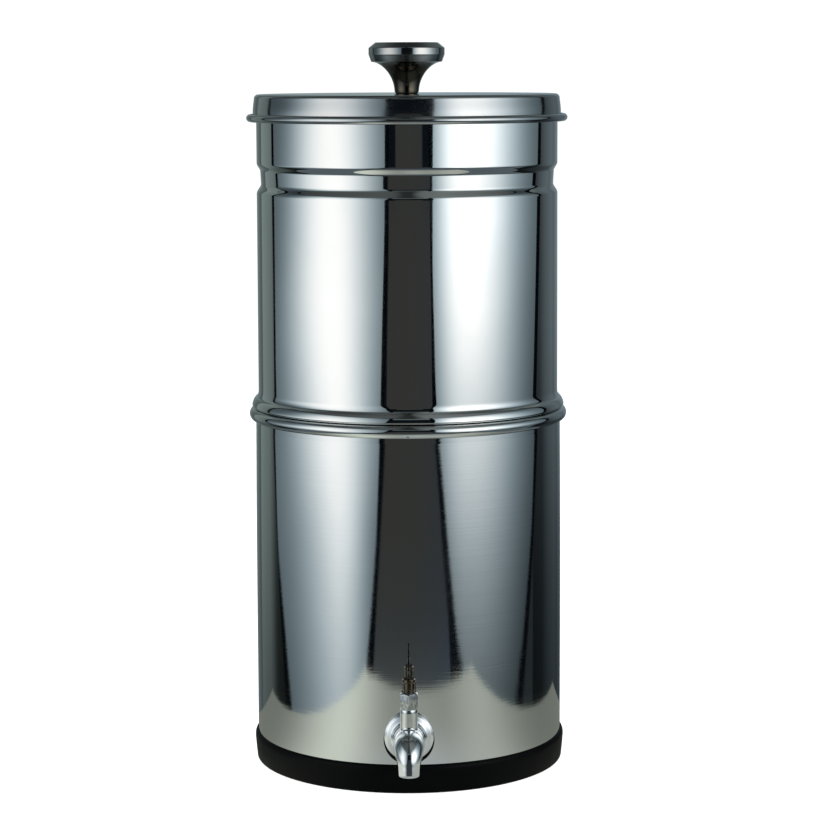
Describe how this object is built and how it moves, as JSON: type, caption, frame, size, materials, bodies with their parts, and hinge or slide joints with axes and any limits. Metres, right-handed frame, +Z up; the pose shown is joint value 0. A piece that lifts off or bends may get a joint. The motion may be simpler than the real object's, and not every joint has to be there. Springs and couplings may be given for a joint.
{
  "type": "gravity water filter",
  "caption": "Stacked stainless gravity water filter with a lidded upper chamber, candle filters, a lower chamber on a rubber ring and a quarter-turn spout tap.",
  "frame": {"origin": "centre of the base ring's underside, on the chambers' vertical axis", "axes": "+Z up along the chambers' axis; the tap is on the -Y side, +X is to the right seen from the front"},
  "size_m": [0.224, 0.2701, 0.5068],
  "materials": {
    "polished_steel": "polished stainless sheet",
    "base_rubber": "matte black rubber",
    "washer_rubber": "black rubber",
    "tap_steel": "polished cast stainless",
    "seal_plastic": "soft white seal",
    "inner_steel": "satin stainless",
    "dark_bronze": "dark oxidised brass",
    "white_plastic": "moulded white plastic",
    "ceramic": "unglazed porous ceramic",
    "carbon": "pressed carbon block",
    "knob_metal": "dark polished metal",
    "silicone": "translucent silicone"
  },
  "bodies": {
    "lower_unit": {"lower_chamber": "polished_steel", "base_ring": "base_rubber", "tap_outer_washer": "washer_rubber", "tap_flange": "tap_steel", "tap_shank": "tap_steel", "tap_inner_washer": "washer_rubber", "tap_back_nut": "tap_steel", "tap_body": "tap_steel", "tap_spout": "tap_steel", "tap_seat_front": "seal_plastic", "tap_seat_rear": "seal_plastic", "tap_packing": "seal_plastic", "tap_gland_nut": "tap_steel"},
    "tap_valve": {"tap_ball": "inner_steel", "tap_stem": "inner_steel", "tap_stem_sleeve": "dark_bronze", "tap_stem_cap": "tap_steel", "tap_handle": "tap_steel"},
    "upper_unit": {"upper_chamber": "polished_steel", "candle_left": "ceramic", "candle_right": "ceramic", "carbon_core_left": "carbon", "carbon_core_right": "carbon", "candle_base_left": "white_plastic", "candle_base_right": "white_plastic", "candle_washer_left": "washer_rubber", "candle_washer_right": "washer_rubber"},
    "wing_nut_left": {"wing_nut_left": "white_plastic"},
    "wing_nut_right": {"wing_nut_right": "white_plastic"},
    "lid_unit": {"lid": "polished_steel", "lid_knob": "knob_metal", "knob_gasket": "silicone", "knob_washer": "inner_steel", "knob_screw": "inner_steel"}
  },
  "joints": [
    {"name": "tap_turn", "type": "hinge", "parent": "lower_unit", "child": "tap_valve", "pos_m": [0, -0.127, 0.0406], "axis": [0, 0, 1], "range_deg": [0, 90]},
    {"name": "upper_lift", "type": "slide", "parent": "lower_unit", "child": "upper_unit", "axis": [0, 0, 1], "range_m": [0, 0.1]},
    {"name": "lid_lift", "type": "slide", "parent": "upper_unit", "child": "lid_unit", "axis": [0, 0, 1], "range_m": [0, 0.1]},
    {"name": "wing_nut_left_turn", "type": "hinge", "parent": "upper_unit", "child": "wing_nut_left", "pos_m": [-0.048, 0, 0.227], "axis": [0, 0, 1], "continuous": true},
    {"name": "wing_nut_right_turn", "type": "hinge", "parent": "upper_unit", "child": "wing_nut_right", "pos_m": [0.048, 0, 0.227], "axis": [0, 0, 1], "continuous": true}
  ]
}
